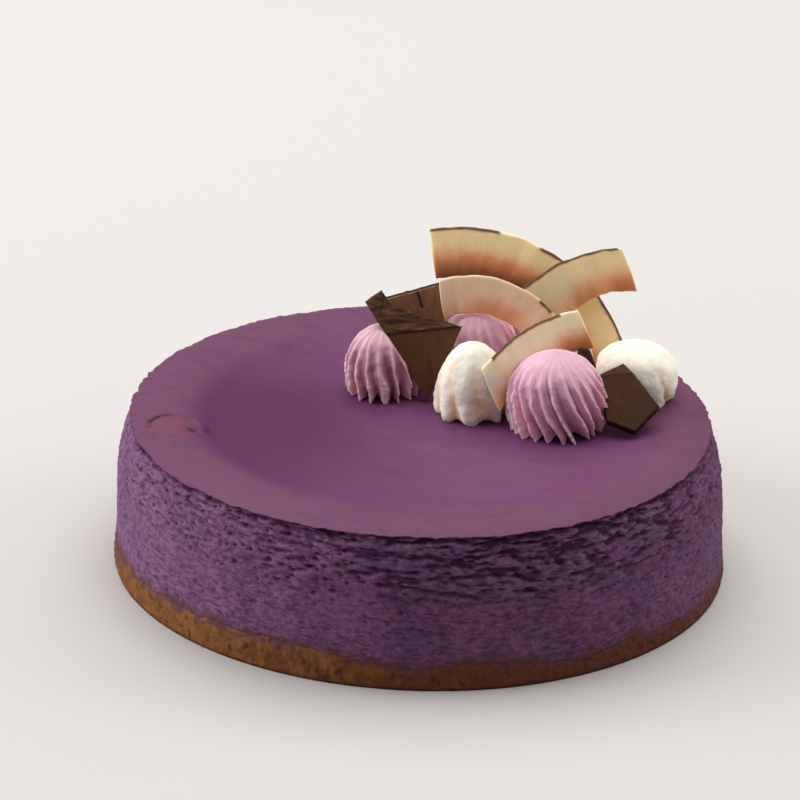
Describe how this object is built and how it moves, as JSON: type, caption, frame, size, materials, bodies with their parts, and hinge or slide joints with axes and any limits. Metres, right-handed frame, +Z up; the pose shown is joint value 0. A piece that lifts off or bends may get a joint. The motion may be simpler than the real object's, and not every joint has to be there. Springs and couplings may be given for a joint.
{
  "type": "purple baked cheesecake",
  "caption": "Whole round baked cheesecake with a wobbly purple body on a biscuit base, dressed with piped cream, coconut curls and chocolate shards.",
  "frame": {"origin": "centre of the flat underside of the biscuit base", "axes": "+Z up; the picture looks along +Y, with +X to its right, and the dressing stands towards +X and +Y"},
  "size_m": [0.151, 0.1511, 0.0761],
  "materials": {
    "purple_curd": "soft matte baked curd, smooth on top and torn at the side",
    "biscuit": "pressed biscuit crumbs, baked golden brown",
    "lilac_cream": "whipped cream, lilac, satin",
    "white_cream": "whipped cream, warm white, satin",
    "toasted_coconut": "dried coconut flesh, toasted towards the inner edge, brown skin on the outer edge",
    "dark_chocolate": "broken dark chocolate, low sheen"
  },
  "bodies": {
    "root": {"biscuit_base": "biscuit", "cheesecake": "purple_curd", "cream_lilac_front": "lilac_cream", "cream_white_front": "white_cream", "cream_lilac_left": "lilac_cream", "cream_white_right": "white_cream", "cream_lilac_back": "lilac_cream", "cream_white_back": "white_cream", "coconut_long": "toasted_coconut", "coconut_right": "toasted_coconut", "coconut_middle": "toasted_coconut", "coconut_front": "toasted_coconut", "chocolate_left": "dark_chocolate", "chocolate_back": "dark_chocolate", "chocolate_right": "dark_chocolate", "chocolate_chip": "dark_chocolate"}
  },
  "joints": []
}
